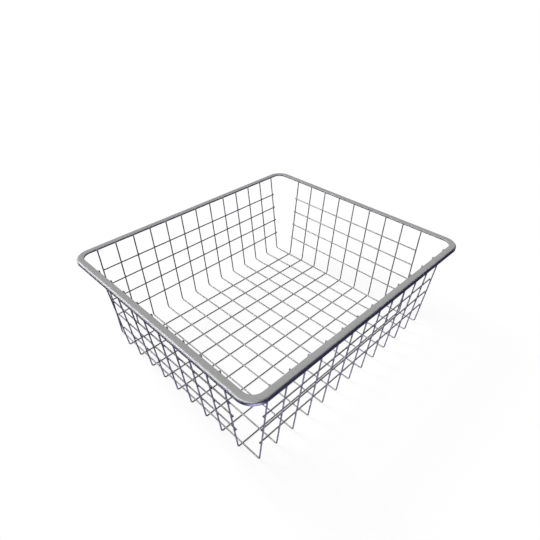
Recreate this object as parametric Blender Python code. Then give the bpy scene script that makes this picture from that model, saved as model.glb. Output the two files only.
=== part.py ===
"""Pull-out wire basket: an angle rim, two layers of U-bent wires and four rungs on each wall.

Metres, +Z up. The origin is on the ground below the middle of the basket. The long side runs along X.
"""
import math

import bpy
from mathutils import Vector

# Overall size, outside the rim
RIM_LENGTH = 0.503
RIM_WIDTH = 0.444
RIM_TOP_HEIGHT = 0.179

# Rim: an angle bent from strip, its flat leaf on top and its skirt outside
RIM_LEAF_WIDTH = 0.012
RIM_SKIRT_HEIGHT = 0.007
RIM_THICKNESS = 0.003
RIM_INNER_BEND_RADIUS = 0.0006
RIM_EDGE_RADIUS = 0.0007
RIM_CORNER_RADIUS = 0.0165

# Wires
WIRE_DIAMETER = 0.0023
WIRE_BEND_RADIUS = 0.0036
WIRE_TOP_DROP = 0.0005
CROSS_WIRE_COUNT = 13
LONG_WIRE_COUNT = 9

# All four walls lean outwards by this much from the floor to the wire ends
WALL_LEAN = 0.021

# Floor: from the foot of a wall to the nearest wire that runs along it
CROSS_WIRE_MARGIN = 0.007
LONG_WIRE_MARGIN = 0.0375

# Rungs, placed at shares of the way up from the upper floor layer to the wire ends
RUNG_HEIGHT_SHARES = (0.236, 0.426, 0.604, 0.78)
RUNG_OVERHANG = 0.0018

# Space left at each weld, so that every piece stays a solid of its own
WELD_GAP = 0.0003

# Steps in each rounded corner
BEND_STEPS = 6
CORNER_STEPS = 9
EDGE_STEPS = 2

WIRE_RADIUS = WIRE_DIAMETER / 2
LAYER_STEP = WIRE_DIAMETER + WELD_GAP
WIRE_TOP = RIM_TOP_HEIGHT - WIRE_TOP_DROP

# Heights of the two floor layers: the long wires lie under the cross wires
LONG_FLOOR = WIRE_RADIUS
CROSS_FLOOR = LONG_FLOOR + LAYER_STEP

# Half the clear opening of the rim, and the wire ends and wall feet that follow from it
OPENING_X = RIM_LENGTH / 2 - RIM_LEAF_WIDTH
OPENING_Y = RIM_WIDTH / 2 - RIM_LEAF_WIDTH
END_WALL_TOP = OPENING_X - WELD_GAP - WIRE_RADIUS
SIDE_WALL_TOP = OPENING_Y - WELD_GAP - WIRE_RADIUS
END_WALL_FOOT = END_WALL_TOP - WALL_LEAN
SIDE_WALL_FOOT = SIDE_WALL_TOP - WALL_LEAN

# The outermost wires of each family, measured from the middle
LAST_CROSS_WIRE = END_WALL_FOOT - CROSS_WIRE_MARGIN
LAST_LONG_WIRE = SIDE_WALL_FOOT - LONG_WIRE_MARGIN


def clear_scene():
    for old in list(bpy.data.objects):
        bpy.data.objects.remove(old, do_unlink=True)


def make_collection(name):
    collection = bpy.data.collections.new(name)
    bpy.context.scene.collection.children.link(collection)
    return collection


def make_finish(name, colour, roughness, metallic):
    """A thin satin coat over steel."""
    finish = bpy.data.materials.new(name)
    finish.use_nodes = True
    shader = finish.node_tree.nodes["Principled BSDF"]
    shader.inputs["Base Color"].default_value = (*colour, 1.0)
    shader.inputs["Roughness"].default_value = roughness
    shader.inputs["Metallic"].default_value = metallic
    finish.diffuse_color = (*colour, 1.0)
    return finish


def rounded_corner(before, corner, after, radius, steps):
    """Points on the arc that rounds a corner between two straight runs."""
    way_in = (corner - before).normalized()
    way_out = (after - corner).normalized()
    turn = way_in.angle(way_out)
    start = corner - way_in * radius * math.tan(turn / 2)
    inward = (way_out - way_in * math.cos(turn)).normalized()
    points = []
    for step in range(steps + 1):
        angle = turn * step / steps
        points.append(start + radius * (way_in * math.sin(angle) + inward * (1 - math.cos(angle))))
    return points


def make_curve(name, points, cyclic=False):
    """An empty curve object along straight stretches between the points."""
    curve = bpy.data.curves.new(name, "CURVE")
    curve.dimensions = "3D"
    curve.twist_mode = "Z_UP"
    curve.use_fill_caps = True
    spline = curve.splines.new("POLY")
    spline.points.add(len(points) - 1)
    for target, point in zip(spline.points, points):
        target.co = (*point, 1.0)
    spline.use_cyclic_u = cyclic
    return bpy.data.objects.new(name, curve)


def make_wire(name, points, finish, collection):
    """Round wire along the points."""
    wire = make_curve(name, points)
    wire.data.bevel_depth = WIRE_RADIUS
    wire.data.bevel_resolution = 2
    wire.data.materials.append(finish)
    collection.objects.link(wire)
    return wire


def spread(last, count):
    """Evenly spaced places from one outermost wire to the other."""
    return [last * (2 * index / (count - 1) - 1) for index in range(count)]


def angle_section():
    """Outline of the rim section: X runs outwards from the opening, Y runs up from the flat top."""
    leaf_top = Vector((RIM_LEAF_WIDTH, 0, 0))
    skirt_foot = Vector((RIM_LEAF_WIDTH, -RIM_SKIRT_HEIGHT, 0))
    skirt_inside = Vector((RIM_LEAF_WIDTH - RIM_THICKNESS, -RIM_SKIRT_HEIGHT, 0))
    inner_bend = Vector((RIM_LEAF_WIDTH - RIM_THICKNESS, -RIM_THICKNESS, 0))
    lip_under = Vector((0, -RIM_THICKNESS, 0))
    lip_top = Vector((0, 0, 0))
    corners = [
        (lip_top, RIM_EDGE_RADIUS, EDGE_STEPS),
        (leaf_top, RIM_INNER_BEND_RADIUS + RIM_THICKNESS, BEND_STEPS),
        (skirt_foot, RIM_EDGE_RADIUS, EDGE_STEPS),
        (skirt_inside, RIM_EDGE_RADIUS, EDGE_STEPS),
        (inner_bend, RIM_INNER_BEND_RADIUS, EDGE_STEPS),
        (lip_under, RIM_EDGE_RADIUS, EDGE_STEPS),
    ]
    outline = []
    for index, (corner, radius, steps) in enumerate(corners):
        before = corners[index - 1][0]
        after = corners[(index + 1) % len(corners)][0]
        outline += rounded_corner(before, corner, after, radius, steps)
    return outline


def make_rim(finish, collection, guides):
    """The angle section carried round the opening in one closed ring."""
    section = make_curve("rim_section", angle_section(), cyclic=True)
    section.data.dimensions = "2D"
    section.data.fill_mode = "NONE"
    section.hide_render = True
    section.display_type = "WIRE"
    guides.objects.link(section)

    corners = []
    for side_x, side_y in ((1, -1), (1, 1), (-1, 1), (-1, -1)):
        corners.append(Vector((side_x * OPENING_X, side_y * OPENING_Y, RIM_TOP_HEIGHT)))
    path = []
    for index, corner in enumerate(corners):
        after = corners[(index + 1) % len(corners)]
        path += rounded_corner(corners[index - 1], corner, after, RIM_CORNER_RADIUS, CORNER_STEPS)
    rim = make_curve("rim", path, cyclic=True)
    rim.data.bevel_mode = "OBJECT"
    rim.data.bevel_object = section
    rim.data.materials.append(finish)
    collection.objects.link(rim)
    return rim


def u_bend(top, foot, floor):
    """A U in the XZ plane: down one leaning wall, along the floor and up the other wall."""
    corners = [
        Vector((-top, 0, WIRE_TOP)),
        Vector((-foot, 0, floor)),
        Vector((foot, 0, floor)),
        Vector((top, 0, WIRE_TOP)),
    ]
    points = [corners[0]]
    for before, corner, after in zip(corners, corners[1:], corners[2:]):
        points += rounded_corner(before, corner, after, WIRE_BEND_RADIUS, BEND_STEPS)
    points.append(corners[-1])
    return points


def make_long_wires(finish, collection):
    """Wires that run along X and climb both end walls."""
    bend = u_bend(END_WALL_TOP, END_WALL_FOOT, LONG_FLOOR)
    for number, y in enumerate(spread(LAST_LONG_WIRE, LONG_WIRE_COUNT), start=1):
        wire = make_wire(f"long_wire_{number:02d}", bend, finish, collection)
        wire.location.y = y


def make_cross_wires(finish, collection):
    """Wires that run along Y on top of the long wires and climb both side walls."""
    bend = u_bend(SIDE_WALL_TOP, SIDE_WALL_FOOT, CROSS_FLOOR)
    for number, x in enumerate(spread(LAST_CROSS_WIRE, CROSS_WIRE_COUNT), start=1):
        wire = make_wire(f"cross_wire_{number:02d}", bend, finish, collection)
        wire.rotation_euler.z = math.radians(90)
        wire.location.x = x


def rung_places(top, foot, floor):
    """How far out and how high each rung lies, one layer inside the leaning wires of its wall."""
    lean = (top - foot) / (WIRE_TOP - floor)
    inset = LAYER_STEP * math.hypot(1, lean)
    places = []
    for share in RUNG_HEIGHT_SHARES:
        height = CROSS_FLOOR + (WIRE_TOP - CROSS_FLOOR) * share
        places.append((foot + lean * (height - floor) - inset, height))
    return places


def make_rungs(walls, finish, collection):
    """Straight wires along the inside of the four walls."""
    for name, turn, top, foot, floor, last_wire in walls:
        reach = last_wire + RUNG_OVERHANG
        for number, (out, height) in enumerate(rung_places(top, foot, floor), start=1):
            points = [Vector((out, -reach, height)), Vector((out, reach, height))]
            rung = make_wire(f"{name}_rung_{number}", points, finish, collection)
            rung.rotation_euler.z = math.radians(turn)


def build():
    clear_scene()
    basket = make_collection("wire_basket")
    guides = make_collection("guides")

    rim_finish = make_finish("rim_finish", (0.31, 0.31, 0.31), roughness=0.36, metallic=0.06)
    cross_finish = make_finish("cross_wire_finish", (0.27, 0.27, 0.27), roughness=0.36, metallic=0.06)
    long_finish = make_finish("long_wire_finish", (0.20, 0.20, 0.20), roughness=0.36, metallic=0.06)
    rung_finish = make_finish("rung_finish", (0.24, 0.24, 0.24), roughness=0.36, metallic=0.06)

    end_wall = (END_WALL_TOP, END_WALL_FOOT, LONG_FLOOR, LAST_LONG_WIRE)
    side_wall = (SIDE_WALL_TOP, SIDE_WALL_FOOT, CROSS_FLOOR, LAST_CROSS_WIRE)
    walls = [
        ("right", 0, *end_wall),
        ("back", 90, *side_wall),
        ("left", 180, *end_wall),
        ("front", 270, *side_wall),
    ]

    make_rim(rim_finish, basket, guides)
    make_cross_wires(cross_finish, basket)
    make_long_wires(long_finish, basket)
    make_rungs(walls, rung_finish, basket)


build()
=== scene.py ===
import math
import random

import bpy
from mathutils import Matrix, Vector


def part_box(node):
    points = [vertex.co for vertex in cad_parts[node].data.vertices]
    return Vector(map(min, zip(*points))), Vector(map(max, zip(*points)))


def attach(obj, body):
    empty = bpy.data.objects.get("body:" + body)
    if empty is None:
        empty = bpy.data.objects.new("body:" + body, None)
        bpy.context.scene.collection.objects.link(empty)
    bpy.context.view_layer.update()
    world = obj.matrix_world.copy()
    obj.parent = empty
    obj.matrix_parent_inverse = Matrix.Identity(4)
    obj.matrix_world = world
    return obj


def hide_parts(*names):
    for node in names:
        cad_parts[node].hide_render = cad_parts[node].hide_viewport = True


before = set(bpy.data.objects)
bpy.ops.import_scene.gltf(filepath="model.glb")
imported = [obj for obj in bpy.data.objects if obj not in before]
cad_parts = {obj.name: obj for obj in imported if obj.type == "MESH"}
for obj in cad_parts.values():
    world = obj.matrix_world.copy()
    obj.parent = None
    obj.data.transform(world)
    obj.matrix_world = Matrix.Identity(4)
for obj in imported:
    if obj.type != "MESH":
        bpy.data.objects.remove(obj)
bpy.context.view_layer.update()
print("frame loaded:", len(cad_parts), "nodes")


# Small helpers for modelling by hand

rightAngle = math.radians(90)
upwards = Vector((0, 0, 1))


def startFresh():
    if bpy.context.object and bpy.context.object.mode != "OBJECT":
        bpy.ops.object.mode_set(mode="OBJECT")
    bpy.ops.object.select_all(action="DESELECT")


def bakePlace(piece):
    # the place goes into the mesh, the object ends at the origin
    startFresh()
    piece.select_set(True)
    bpy.context.view_layer.objects.active = piece
    bpy.ops.object.transform_apply(location=True, rotation=True, scale=True)


def pickVertices(piece, test):
    # selects only the vertices whose place passes the test
    bpy.ops.mesh.select_all(action="DESELECT")
    bpy.ops.object.mode_set(mode="OBJECT")
    for vertex in piece.data.vertices:
        vertex.select = test(vertex.co)
    bpy.ops.object.mode_set(mode="EDIT")


def sweepAlong(start, heading, moves):
    # pulls the selected outline along straight runs and round turns, and returns the line it followed
    place = start.copy()
    heading = heading.normalized()
    line = [place.copy()]
    for move in moves:
        if "run" in move:
            step = heading * move["run"]
            bpy.ops.mesh.extrude_region_move(TRANSFORM_OT_translate={"value": step})
            place += step
            line.append(place.copy())
            continue
        axis = move["axis"]
        centre = place + axis.cross(heading) * move["radius"]
        # the spin operator counts its angle the other way round
        bpy.ops.mesh.spin(steps=move["steps"], angle=-move["turn"], center=centre, axis=axis)
        for number in range(1, move["steps"] + 1):
            turn = Matrix.Rotation(move["turn"] * number / move["steps"], 3, axis)
            line.append(centre + turn @ (place - centre))
        place = line[-1].copy()
        heading = Matrix.Rotation(move["turn"], 3, axis) @ heading
    return line


def nearestAlong(line, spot):
    # where along the line its point nearest the spot lies, the offset there, the heading there
    # and the length of the whole line
    best = None
    travelled = 0.0
    for before, after in zip(line, line[1:]):
        span = after - before
        share = max(0.0, min(1.0, (spot - before).dot(span) / span.length_squared))
        offset = spot - (before + span * share)
        if best is None or offset.length < best[0]:
            best = (offset.length, travelled + span.length * share, offset, span.normalized())
        travelled += span.length
    return best[1], best[2], best[3], travelled


def straighten(piece, line, side, closed=False):
    # stores each corner's place as if the bent piece lay straight, so drawn streaks follow its bends
    mesh = piece.data
    store = mesh.attributes.new("straightPlace", "FLOAT_VECTOR", "CORNER")
    found = {}
    for vertex in mesh.vertices:
        along, offset, ahead, total = nearestAlong(line, vertex.co)
        across = side(ahead)
        found[vertex.index] = (along, offset.dot(across), offset.dot(ahead.cross(across)))
    for face in mesh.polygons:
        alongs = [found[mesh.loops[index].vertex_index][0] for index in face.loop_indices]
        wraps = closed and max(alongs) - min(alongs) > total / 2
        for index in face.loop_indices:
            along, out, up = found[mesh.loops[index].vertex_index]
            if wraps and along < total / 2:
                along += total
            store.data[index].vector = (along, out, up)


def shadeRound(piece, angle):
    startFresh()
    piece.select_set(True)
    bpy.context.view_layer.objects.active = piece
    bpy.ops.object.shade_smooth_by_angle(angle=math.radians(angle))


def copyPiece(source, name, turn, move):
    # a copy with its own mesh, turned about Z and moved
    twin = source.copy()
    twin.data = source.data.copy()
    twin.name = name
    twin.data.name = name
    twin.data.transform(Matrix.Translation(move) @ Matrix.Rotation(turn, 4, "Z"))
    bpy.context.scene.collection.objects.link(twin)
    return twin


def standFor(piece, node, material):
    piece.data.materials.clear()
    piece.data.materials.append(material)
    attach(piece, "root")
    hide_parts(node)


# What the frame says: the rim's box, the wires' radius and their places

rimLow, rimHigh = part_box("rim")
rungLow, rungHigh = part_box("right_rung_1")
wireRadius = (rungHigh[2] - rungLow[2]) / 2
crossNames = sorted(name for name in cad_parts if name.startswith("cross_wire"))
longNames = sorted(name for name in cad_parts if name.startswith("long_wire"))


def middleOf(node):
    low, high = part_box(node)
    return (Vector(low) + Vector(high)) / 2


crossPlaces = [middleOf(name).x for name in crossNames]
longPlaces = [middleOf(name).y for name in longNames]


# Finishes: a thin satin coat over steel

finishSteps = {
    "streakDetail": 3.0,
    "grainDetail": 2.0,
    "mottleDetail": 4.0,
    "streakShare": 0.4,  # of the changes of tone, the mottle makes the rest
    "lowMark": 0.3,  # the noise mostly stays between these two marks
    "highMark": 0.7,
}


def addNode(tree, kind, place, **settings):
    node = tree.nodes.new(kind)
    node.location = place
    for key, value in settings.items():
        setattr(node, key, value)
    return node


def coatFinish(name, look):
    material = bpy.data.materials.new(name)
    material.use_nodes = True
    tree = material.node_tree
    shader = tree.nodes["Principled BSDF"]
    shader.inputs["Metallic"].default_value = look["metallic"]
    shader.inputs["Specular IOR Level"].default_value = look["specular"]

    # drawing streaks that show through the coat and follow the bends, or ripples on a weld
    place = addNode(tree, "ShaderNodeTexCoord", (-1300, -250))
    straight = place.outputs["Object"]
    if look["drawn"]:
        stored = addNode(tree, "ShaderNodeAttribute", (-1300, 200), attribute_name="straightPlace")
        straight = stored.outputs["Vector"]
    stretch = addNode(tree, "ShaderNodeMapping", (-1100, 200))
    fine = 1 / look["streakWidth"]
    stretch.inputs["Scale"].default_value = (1 / look["streakLength"], fine, fine)
    streak = addNode(tree, "ShaderNodeTexNoise", (-900, 200))
    streak.inputs["Scale"].default_value = 1.0
    streak.inputs["Detail"].default_value = finishSteps["streakDetail"]
    tree.links.new(straight, stretch.inputs["Vector"])
    tree.links.new(stretch.outputs["Vector"], streak.inputs["Vector"])

    # the fine grain of the coat, and slow changes of tone over the piece
    grain = addNode(tree, "ShaderNodeTexNoise", (-900, -150))
    grain.inputs["Scale"].default_value = 1 / look["grainSize"]
    grain.inputs["Detail"].default_value = finishSteps["grainDetail"]
    mottle = addNode(tree, "ShaderNodeTexNoise", (-900, -450))
    mottle.inputs["Scale"].default_value = 1 / look["mottleSize"]
    mottle.inputs["Detail"].default_value = finishSteps["mottleDetail"]
    tree.links.new(place.outputs["Object"], grain.inputs["Vector"])
    tree.links.new(place.outputs["Object"], mottle.inputs["Vector"])

    # tone: the mottle and the streaks together pick between a darker and a lighter grey
    # a float mix has its factor at socket 0 and its two values at 2 and 3
    blend = addNode(tree, "ShaderNodeMix", (-650, 0), data_type="FLOAT")
    blend.inputs[0].default_value = finishSteps["streakShare"]
    tree.links.new(mottle.outputs["Fac"], blend.inputs[2])
    tree.links.new(streak.outputs["Fac"], blend.inputs[3])
    tone = addNode(tree, "ShaderNodeValToRGB", (-450, 100))
    tone.color_ramp.elements[0].position = finishSteps["lowMark"]
    tone.color_ramp.elements[1].position = finishSteps["highMark"]
    tone.color_ramp.elements[0].color = (*[part * (1 - look["toneSwing"]) for part in look["colour"]], 1)
    tone.color_ramp.elements[1].color = (*[part * (1 + look["toneSwing"]) for part in look["colour"]], 1)
    tree.links.new(blend.outputs[0], tone.inputs["Fac"])
    tree.links.new(tone.outputs["Color"], shader.inputs["Base Color"])

    rough = addNode(tree, "ShaderNodeMapRange", (-450, -200))
    rough.inputs["From Min"].default_value = finishSteps["lowMark"]
    rough.inputs["From Max"].default_value = finishSteps["highMark"]
    rough.inputs["To Min"].default_value = look["roughness"] - look["roughSwing"]
    rough.inputs["To Max"].default_value = look["roughness"] + look["roughSwing"]
    tree.links.new(blend.outputs[0], rough.inputs["Value"])
    tree.links.new(rough.outputs["Result"], shader.inputs["Roughness"])

    streakBump = addNode(tree, "ShaderNodeBump", (-450, -500))
    streakBump.inputs["Strength"].default_value = look["streakStrength"]
    streakBump.inputs["Distance"].default_value = look["streakDepth"]
    grainBump = addNode(tree, "ShaderNodeBump", (-200, -500))
    grainBump.inputs["Strength"].default_value = look["grainStrength"]
    grainBump.inputs["Distance"].default_value = look["grainDepth"]
    tree.links.new(streak.outputs["Fac"], streakBump.inputs["Height"])
    tree.links.new(grain.outputs["Fac"], grainBump.inputs["Height"])
    tree.links.new(streakBump.outputs["Normal"], grainBump.inputs["Normal"])
    tree.links.new(grainBump.outputs["Normal"], shader.inputs["Normal"])
    return material


rimLook = {
    "drawn": True, "colour": (0.31, 0.31, 0.31), "metallic": 0.06, "specular": 0.0, "roughness": 0.36,
    "roughSwing": 0.04, "toneSwing": 0.03, "mottleSize": 0.06,
    "streakLength": 0.05, "streakWidth": 0.00025, "streakDepth": 0.00001, "streakStrength": 0.12,
    "grainSize": 0.0006, "grainDepth": 0.00001, "grainStrength": 0.08,
}
crossLook = {
    "drawn": True, "colour": (0.27, 0.27, 0.27), "metallic": 0.06, "specular": 0.0, "roughness": 0.36,
    "roughSwing": 0.05, "toneSwing": 0.05, "mottleSize": 0.04,
    "streakLength": 0.03, "streakWidth": 0.00016, "streakDepth": 0.00001, "streakStrength": 0.12,
    "grainSize": 0.0004, "grainDepth": 0.00001, "grainStrength": 0.07,
}
# painted shade: the wires that run along X get a darker grey than the same coat on the wires along Y, for
# the side they turn away from the lamps
shadedWireLook = {**crossLook, "colour": (0.20, 0.20, 0.20)}
weldLook = {
    "drawn": False, "colour": (0.20, 0.20, 0.20), "metallic": 0.06, "specular": 0.0, "roughness": 0.42,
    "roughSwing": 0.08, "toneSwing": 0.12, "mottleSize": 0.003,
    "streakLength": 0.002, "streakWidth": 0.0008, "streakDepth": 0.00003, "streakStrength": 0.3,
    "grainSize": 0.0004, "grainDepth": 0.00003, "grainStrength": 0.5,
}
rimCoat = coatFinish("rimCoat", rimLook)
crossCoat = coatFinish("crossWireCoat", crossLook)
shadedWireCoat = coatFinish("paintedShadeWireCoat", shadedWireLook)
weldCoat = coatFinish("weldCoat", weldLook)
print("finishes made")


# Rim: an angle bent from strip, pulled round the opening

rimShape = {
    "leafWidth": 0.012,
    "thickness": 0.003,
    "innerBend": 0.0006,
    "edgeRadius": 0.0007,
    "cornerRadius": 0.0165,
    "bendSegments": 10,
    "edgeSegments": 4,
    "cornerSteps": 28,
    "slackShare": 0.1,  # of the thickness, when a vertex is picked by its place
    "mergeDistance": 0.00001,
    "smoothAngle": 35,
}
openingX = rimHigh[0] - rimShape["leafWidth"]
openingY = rimHigh[1] - rimShape["leafWidth"]


def makeRim():
    top = rimHigh[2]
    foot = rimLow[2]
    strip = rimShape["thickness"]
    slack = strip * rimShape["slackShare"]
    startFresh()
    bpy.ops.mesh.primitive_plane_add(
        size=1,
        location=((openingX + rimHigh[0]) / 2, 0, top - strip / 2),
        rotation=(rightAngle, 0, 0),
    )
    rim = bpy.context.object
    rim.scale = (rimShape["leafWidth"], strip, 1)
    bakePlace(rim)

    # the strip's outer end is cut off and pulled down as the skirt
    bpy.ops.object.mode_set(mode="EDIT")
    bpy.ops.mesh.select_all(action="SELECT")
    bend = rimHigh[0] - strip
    bpy.ops.mesh.bisect(plane_co=(bend, 0, 0), plane_no=(1, 0, 0))
    pickVertices(rim, lambda co: co.x > bend - slack and co.z < top - strip / 2)
    bpy.ops.mesh.extrude_region_move(TRANSFORM_OT_translate={"value": (0, 0, foot - top + strip)})
    bpy.ops.mesh.select_all(action="SELECT")
    bpy.ops.mesh.dissolve_faces()

    # rounded outer bend, inner bend and cut edges
    def roundCorners(test, radius, segments):
        pickVertices(rim, test)
        bpy.ops.mesh.bevel(offset=radius, segments=segments, affect="VERTICES")

    roundCorners(lambda co: co.x > rimHigh[0] - slack and co.z > top - slack,
                 rimShape["innerBend"] + strip, rimShape["bendSegments"])
    roundCorners(lambda co: abs(co.x - bend) < slack and abs(co.z - top + strip) < slack,
                 rimShape["innerBend"], rimShape["edgeSegments"])
    roundCorners(lambda co: co.x < openingX + slack or co.z < foot + slack,
                 rimShape["edgeRadius"], rimShape["edgeSegments"])
    bpy.ops.mesh.select_all(action="SELECT")
    bpy.ops.mesh.delete(type="ONLY_FACE")
    bpy.ops.mesh.select_all(action="SELECT")

    # once round the opening, from the middle of the right side
    quarter = {
        "turn": rightAngle,
        "radius": rimShape["cornerRadius"],
        "axis": upwards,
        "steps": rimShape["cornerSteps"],
    }
    halfSide = openingY - rimShape["cornerRadius"]
    frontSide = 2 * (openingX - rimShape["cornerRadius"])
    line = sweepAlong(
        Vector((openingX, 0, top)),
        Vector((0, 1, 0)),
        [
            {"run": halfSide}, quarter, {"run": frontSide}, quarter, {"run": 2 * halfSide}, quarter,
            {"run": frontSide}, quarter, {"run": halfSide},
        ],
    )
    bpy.ops.mesh.select_all(action="SELECT")
    bpy.ops.mesh.remove_doubles(threshold=rimShape["mergeDistance"])
    bpy.ops.mesh.normals_make_consistent(inside=False)
    bpy.ops.object.mode_set(mode="OBJECT")
    rim.name = "rimRing"
    straighten(rim, line, lambda ahead: ahead.cross(upwards), closed=True)
    shadeRound(rim, rimShape["smoothAngle"])
    standFor(rim, "rim", rimCoat)


makeRim()
print("rim made")


# Wires: a round outline pulled down one wall, along the floor and up the other

wireShape = {
    "sides": 16,
    "bendRadius": 0.0036,
    "bendSteps": 10,
    "leanOut": 0.021,
    "cutChamfer": 0.00025,
    "chamferSegments": 2,
    "smoothAngle": 40,
}


def closeEnds(wire):
    # fills both cut ends and breaks their sharp edge
    bpy.ops.mesh.select_all(action="DESELECT")
    bpy.ops.mesh.select_non_manifold(extend=False, use_wire=False, use_boundary=True,
                                     use_multi_face=False, use_non_contiguous=False, use_verts=False)
    bpy.ops.mesh.edge_face_add()
    bpy.ops.mesh.select_mode(type="FACE")
    bpy.ops.mesh.select_all(action="DESELECT")
    bpy.ops.object.mode_set(mode="OBJECT")
    for face in wire.data.polygons:
        face.select = len(face.vertices) == wireShape["sides"]
    bpy.ops.object.mode_set(mode="EDIT")
    bpy.ops.mesh.region_to_loop()
    bpy.ops.mesh.bevel(offset=wireShape["cutChamfer"], segments=wireShape["chamferSegments"],
                       affect="EDGES")
    bpy.ops.mesh.select_mode(type="VERT")
    bpy.ops.mesh.select_all(action="SELECT")
    bpy.ops.mesh.normals_make_consistent(inside=False)
    bpy.ops.object.mode_set(mode="OBJECT")


def startOutline(name, place, tilt):
    startFresh()
    bpy.ops.mesh.primitive_circle_add(vertices=wireShape["sides"], radius=wireRadius, fill_type="NOTHING",
                                      location=place, rotation=(0, tilt, 0))
    wire = bpy.context.object
    wire.name = name
    bakePlace(wire)
    bpy.ops.object.mode_set(mode="EDIT")
    bpy.ops.mesh.select_all(action="SELECT")
    return wire


def makeBentWire(name, node, along):
    # modelled in the XZ plane, with its walls and floor where the frame has them
    # along is 0 for a node that runs along X, 1 for one along Y
    low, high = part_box(node)
    floor = low[2] + wireRadius
    lean = math.atan(wireShape["leanOut"] / (high[2] - floor))
    topOut = high[along] - wireRadius * math.cos(lean)
    topHeight = high[2] - wireRadius * math.sin(lean)
    foot = topOut - wireShape["leanOut"]
    turn = rightAngle - lean
    cut = wireShape["bendRadius"] * math.tan(turn / 2)
    wall = math.hypot(wireShape["leanOut"], topHeight - floor) - cut
    bend = {
        "turn": turn,
        "radius": wireShape["bendRadius"],
        "axis": Vector((0, -1, 0)),
        "steps": wireShape["bendSteps"],
    }
    start = Vector((-topOut, 0, topHeight))
    wire = startOutline(name, start, -lean)
    line = sweepAlong(
        start,
        Vector((wireShape["leanOut"], 0, floor - topHeight)),
        [{"run": wall}, bend, {"run": 2 * (foot - cut)}, bend, {"run": wall}],
    )
    closeEnds(wire)
    straighten(wire, line, lambda ahead: Vector((0, 1, 0)))
    shadeRound(wire, wireShape["smoothAngle"])
    return wire


def makeRung(name, node):
    # modelled along X about the origin
    low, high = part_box(node)
    reach = max(high[0] - low[0], high[1] - low[1]) / 2
    start = Vector((-reach, 0, 0))
    rung = startOutline(name, start, rightAngle)
    line = sweepAlong(start, Vector((1, 0, 0)), [{"run": 2 * reach}])
    closeEnds(rung)
    straighten(rung, line, lambda ahead: Vector((0, 1, 0)))
    shadeRound(rung, wireShape["smoothAngle"])
    return rung


def removeMaster(piece):
    bpy.data.objects.remove(piece, do_unlink=True)


master = makeBentWire("longMaster", longNames[0], 0)
for name, y in zip(longNames, longPlaces):
    piece = copyPiece(master, name + "_drawn", 0, Vector((0, y, 0)))
    # the long wires run along X and take the darker grey of painted shade
    standFor(piece, name, shadedWireCoat)
removeMaster(master)
master = makeBentWire("crossMaster", crossNames[0], 1)
for name, x in zip(crossNames, crossPlaces):
    piece = copyPiece(master, name + "_drawn", rightAngle, Vector((x, 0, 0)))
    standFor(piece, name, crossCoat)
removeMaster(master)
print("bent wires made:", len(longNames) + len(crossNames))

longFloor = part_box(longNames[0])[0][2] + wireRadius
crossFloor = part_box(crossNames[0])[0][2] + wireRadius
layerStep = crossFloor - longFloor
walls = {
    "right": {"out": Vector((1, 0, 0)), "uprights": longPlaces, "floor": longFloor},
    "back": {"out": Vector((0, 1, 0)), "uprights": crossPlaces, "floor": crossFloor},
    "left": {"out": Vector((-1, 0, 0)), "uprights": longPlaces, "floor": longFloor},
    "front": {"out": Vector((0, -1, 0)), "uprights": crossPlaces, "floor": crossFloor},
}


def wallNormal(wall):
    # outwards, square to the leaning uprights
    lean = math.atan(wireShape["leanOut"] / (rimHigh[2] - walls[wall]["floor"]))
    return walls[wall]["out"] * math.cos(lean) - Vector((0, 0, math.sin(lean)))


def rungsOf(wall):
    return sorted(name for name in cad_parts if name.startswith(wall + "_rung"))


for wall in walls:
    # the end walls' rungs run across, the side walls' rungs run along the basket
    across = wall in ("right", "left")
    turn = rightAngle if across else 0
    master = makeRung("rungMaster", rungsOf(wall)[0])
    for name in rungsOf(wall):
        piece = copyPiece(master, name + "_drawn", turn, middleOf(name))
        # rungs along the basket run along X and take the darker grey of painted shade, rungs across take
        # the plain coat
        standFor(piece, name, crossCoat if across else shadedWireCoat)
    removeMaster(master)
print("rungs made")


# Welds: a pillow of squeezed steel at each crossing, and a bead where each wire end meets the rim

weldShape = {
    "pillowAcross": 0.00150,
    "pillowThrough": 0.00072,
    "beadAlong": 0.00160,
    "beadAcross": 0.00095,
    "beadUp": 0.00130,
    "beadDrop": 0.0017,
    "rimGap": 0.0003,
    "cuts": 2,
    "roundness": 0.8,
    "unevenness": 0.12,
    "seed": 7,
}
uneven = random.Random(weldShape["seed"])


def makePillow():
    # a cube of half size 1 with its corners drawn in, so that a copy's scale is its half size
    startFresh()
    bpy.ops.mesh.primitive_cube_add(size=2)
    pillow = bpy.context.object
    bpy.ops.object.mode_set(mode="EDIT")
    bpy.ops.mesh.select_all(action="SELECT")
    bpy.ops.mesh.subdivide(number_cuts=weldShape["cuts"])
    bpy.ops.transform.tosphere(value=weldShape["roundness"])
    bpy.ops.object.mode_set(mode="OBJECT")
    size = max(pillow.dimensions) / 2
    pillow.scale = (1 / size, 1 / size, 1 / size)
    bakePlace(pillow)
    bpy.ops.object.shade_smooth()
    return pillow


def makeWelds(name, pillow, spots):
    # one copy of the pillow for each spot, joined into one piece
    least = 1 - weldShape["unevenness"]
    most = 1 + weldShape["unevenness"]
    copies = []
    for centre, axes, halfSize in spots:
        twin = pillow.copy()
        twin.data = pillow.data.copy()
        change = [size * uneven.uniform(least, most) for size in halfSize]
        turn = Matrix((axes[0], axes[1], axes[2])).transposed().to_4x4()
        twin.data.transform(Matrix.Translation(centre) @ turn @ Matrix.Diagonal((*change, 1)))
        bpy.context.scene.collection.objects.link(twin)
        copies.append(twin)
    startFresh()
    for twin in copies:
        twin.select_set(True)
    bpy.context.view_layer.objects.active = copies[0]
    bpy.ops.object.join()
    welds = bpy.context.object
    welds.name = name
    welds.data.name = name
    welds.data.materials.clear()
    welds.data.materials.append(weldCoat)
    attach(welds, "root")


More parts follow.
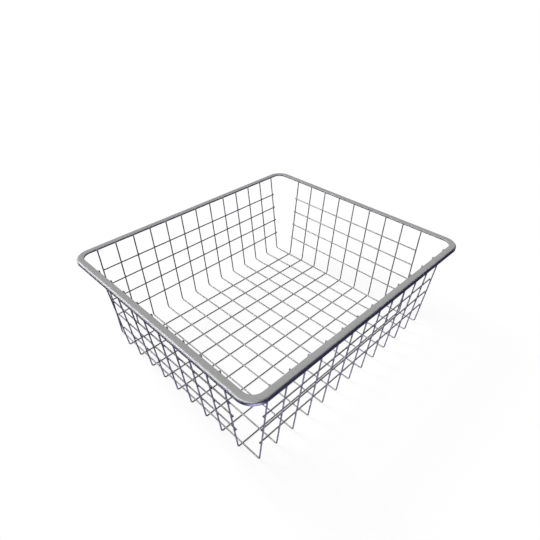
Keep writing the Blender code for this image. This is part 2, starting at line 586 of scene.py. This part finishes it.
def floorSpots():
    axes = (Vector((1, 0, 0)), Vector((0, 1, 0)), upwards)
    size = (weldShape["pillowAcross"], weldShape["pillowAcross"], weldShape["pillowThrough"])
    height = (longFloor + crossFloor) / 2
    return [(Vector((x, y, height)), axes, size) for x in crossPlaces for y in longPlaces]


def wallSpots(wall):
    # where each rung crosses an upright, halfway between the two
    along = upwards.cross(walls[wall]["out"])
    normal = wallNormal(wall)
    axes = (along, normal.cross(along), normal)
    size = (weldShape["pillowAcross"], weldShape["pillowAcross"], weldShape["pillowThrough"])
    halfway = normal * layerStep / 2
    spots = []
    for name in rungsOf(wall):
        for place in walls[wall]["uprights"]:
            spots.append((middleOf(name) + along * place + halfway, axes, size))
    return spots


def rimSpots():
    spots = []
    size = (weldShape["beadAlong"], weldShape["beadAcross"], weldShape["beadUp"])
    for wall in walls.values():
        out = wall["out"]
        along = upwards.cross(out)
        edge = (openingX if out.x else openingY) - weldShape["rimGap"] / 2
        height = upwards * (rimHigh[2] - weldShape["beadDrop"])
        for place in wall["uprights"]:
            spots.append((out * edge + along * place + height, (along, -out, upwards), size))
    return spots


pillow = makePillow()
makeWelds("floorWelds", pillow, floorSpots())
for wall in walls:
    makeWelds(wall + "WallWelds", pillow, wallSpots(wall))
makeWelds("rimWelds", pillow, rimSpots())
removeMaster(pillow)
print("welds made")


# Stage, lights and camera

setup = {
    "target": Vector((0.13125, 0.13241, 0.00375)),  # seen in the middle of the picture
    "distance": 1.04166,
    "azimuth": -45.0,
    "elevation": 35.264,
    "sensor": 36.0,
    "focalPixels": 461.283,
    "imagePixels": 540,
}
studio = {
    "floorSize": 60.0,
    "floorWhite": (1.0, 1.0, 1.0),
    "floorBounce": (0.01, 0.01, 0.28),  # what the floor sends up, which tints the shaded sides
    "shadowShare": 0.12,
    "backdropWhite": (1.0, 1.0, 1.0),
    "ambient": (0.01, 0.01, 0.01),
}
suns = {
    "keySun": {
        "from": Vector((-0.18, 0.69, 0.70)), "level": 1.5, "angle": 28,
        "colour": (1, 1, 1), "lightsMatt": True,
    },
    "leftBackSun": {
        "from": Vector((-0.57, 0.72, 0.40)), "level": 5.0, "angle": 70,
        "colour": (1, 1, 1), "lightsMatt": False,
    },
    "leftFrontSun": {
        "from": Vector((-0.72, -0.28, 0.63)), "level": 6.0, "angle": 75,
        "colour": (1, 1, 1), "lightsMatt": False,
    },
    "underSun": {
        "from": Vector((-0.35, -0.50, -0.79)), "level": 6.0, "angle": 45,
        "colour": (0.7, 0.65, 1), "lightsMatt": False,
    },
}


def seenFactor(tree, place):
    # 1 for what the camera, gloss and glass see, 0 for the light that falls on the object
    path = addNode(tree, "ShaderNodeLightPath", place)
    first = addNode(tree, "ShaderNodeMath", (place[0] + 200, place[1]), operation="MAXIMUM")
    second = addNode(tree, "ShaderNodeMath", (place[0] + 400, place[1]), operation="MAXIMUM")
    tree.links.new(path.outputs["Is Camera Ray"], first.inputs[0])
    tree.links.new(path.outputs["Is Glossy Ray"], first.inputs[1])
    tree.links.new(first.outputs[0], second.inputs[0])
    tree.links.new(path.outputs["Is Transmission Ray"], second.inputs[1])
    return second.outputs[0]


def mixColours(tree, place, factor, dark, pale):
    # a colour mix has its factor at socket 0, its two colours at 6 and 7 and its result at 2
    mix = addNode(tree, "ShaderNodeMix", place, data_type="RGBA")
    mix.inputs[6].default_value = (*dark, 1)
    mix.inputs[7].default_value = (*pale, 1)
    tree.links.new(factor, mix.inputs[0])
    return mix.outputs[2]


def makeFloor():
    startFresh()
    bpy.ops.mesh.primitive_plane_add(size=studio["floorSize"], location=(0, 0, 0))
    floor = bpy.context.object
    floor.name = "paleFloor"
    material = bpy.data.materials.new("paleFloor")
    material.use_nodes = True
    tree = material.node_tree
    tree.nodes.remove(tree.nodes["Principled BSDF"])
    seen = seenFactor(tree, (-900, 0))
    matt = addNode(tree, "ShaderNodeBsdfDiffuse", (0, 0))
    tree.links.new(mixColours(tree, (-200, 0), seen, studio["floorBounce"], studio["floorWhite"]),
                   matt.inputs["Color"])
    # the lit floor keeps the shadow, and its own white thins it
    white = addNode(tree, "ShaderNodeEmission", (0, -200))
    white.inputs["Color"].default_value = (*studio["floorWhite"], 1)
    thin = addNode(tree, "ShaderNodeMath", (-200, -200), operation="MULTIPLY")
    thin.inputs[1].default_value = 1 - studio["shadowShare"]
    tree.links.new(seen, thin.inputs[0])
    blend = addNode(tree, "ShaderNodeMixShader", (200, 0))
    tree.links.new(thin.outputs[0], blend.inputs["Fac"])
    tree.links.new(matt.outputs["BSDF"], blend.inputs[1])
    tree.links.new(white.outputs["Emission"], blend.inputs[2])
    tree.links.new(blend.outputs["Shader"], tree.nodes["Material Output"].inputs["Surface"])
    material.cycles.emission_sampling = "NONE"  # its white is looked at, it isn't a lamp
    floor.data.materials.append(material)
    floor.visible_shadow = False  # the lamp below it shines through


def makeWorld():
    world = bpy.data.worlds.new("studio")
    bpy.context.scene.world = world
    world.use_nodes = True
    tree = world.node_tree
    seen = seenFactor(tree, (-900, 0))
    colour = mixColours(tree, (-200, 0), seen, studio["ambient"], studio["backdropWhite"])
    tree.links.new(colour, tree.nodes["Background"].inputs["Color"])


def makeSuns():
    # one lamp lights everything, the others only show in the gloss
    for name, sun in suns.items():
        data = bpy.data.lights.new(name, "SUN")
        data.energy = sun["level"] * math.pi  # level 1 shows a matt colour facing the lamp as written
        data.color = sun["colour"]
        data.angle = math.radians(sun["angle"])
        lamp = bpy.data.objects.new(name, data)
        lamp.rotation_euler = sun["from"].to_track_quat("Z", "Y").to_euler()
        lamp.visible_diffuse = sun["lightsMatt"]
        bpy.context.scene.collection.objects.link(lamp)


def makeCamera():
    turn = math.radians(setup["azimuth"])
    rise = math.radians(setup["elevation"])
    back = Vector((math.sin(turn) * math.cos(rise), -math.cos(turn) * math.cos(rise), math.sin(rise)))
    data = bpy.data.cameras.new("photoCamera")
    data.sensor_width = setup["sensor"]
    data.lens = setup["sensor"] * setup["focalPixels"] / setup["imagePixels"]
    camera = bpy.data.objects.new("photoCamera", data)
    camera.location = setup["target"] + back * setup["distance"]
    camera.rotation_euler = (-back).to_track_quat("-Z", "Y").to_euler()
    bpy.context.scene.collection.objects.link(camera)
    bpy.context.scene.camera = camera


makeFloor()
makeWorld()
makeSuns()
makeCamera()
bpy.context.scene.view_settings.view_transform = "Standard"
print("stage, lights and camera set")
